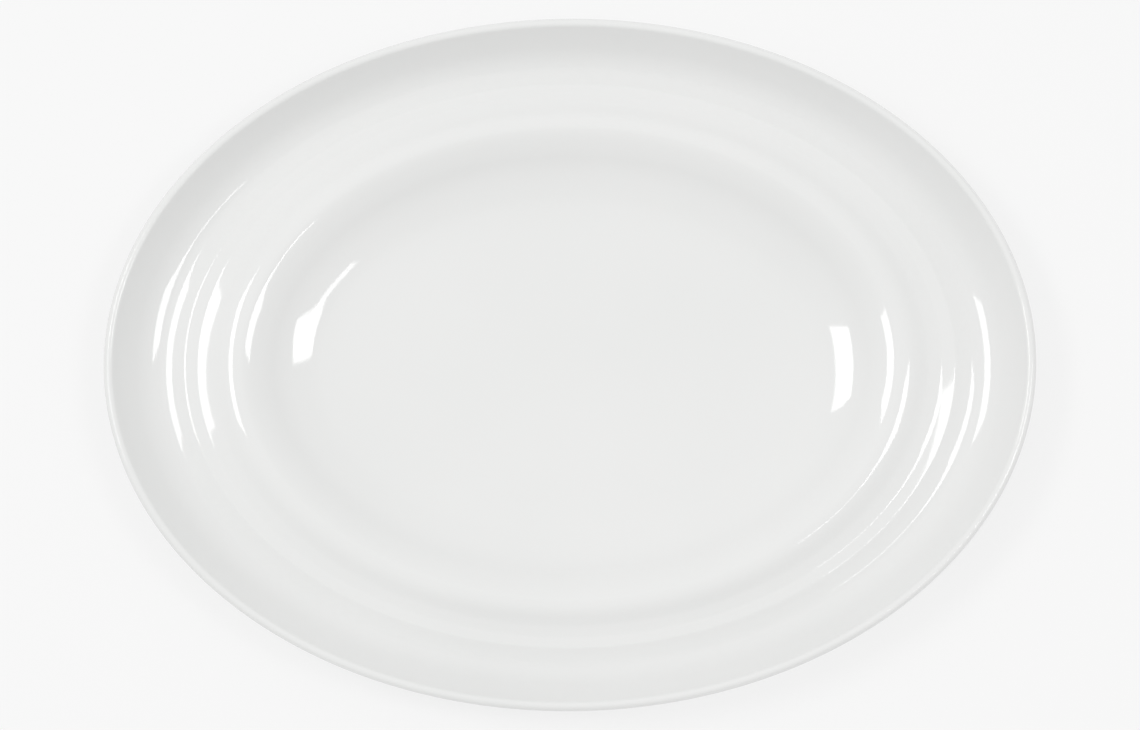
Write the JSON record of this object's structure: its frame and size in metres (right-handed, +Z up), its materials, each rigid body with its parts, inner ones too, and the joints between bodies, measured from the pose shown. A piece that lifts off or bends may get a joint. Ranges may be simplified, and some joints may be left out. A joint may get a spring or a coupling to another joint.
{
  "type": "china serving platter",
  "caption": "Oval white china serving platter with a flat well, a raised ring round it, a dished rim with a rolled lip, and an oval foot ring.",
  "frame": {"origin": "centre of the plane that the foot ring rests on", "axes": "+X along the platter's length, +Y across it, +Z up out of the well"},
  "size_m": [0.35, 0.262, 0.0263],
  "materials": {
    "bisque": "fired, unglazed, ground matt on the foot ring",
    "glaze": "clear glossy glaze over white porcelain"
  },
  "bodies": {
    "root": {"china_body": "bisque", "glaze_coat": "glaze", "base_glaze": "glaze"}
  },
  "joints": []
}
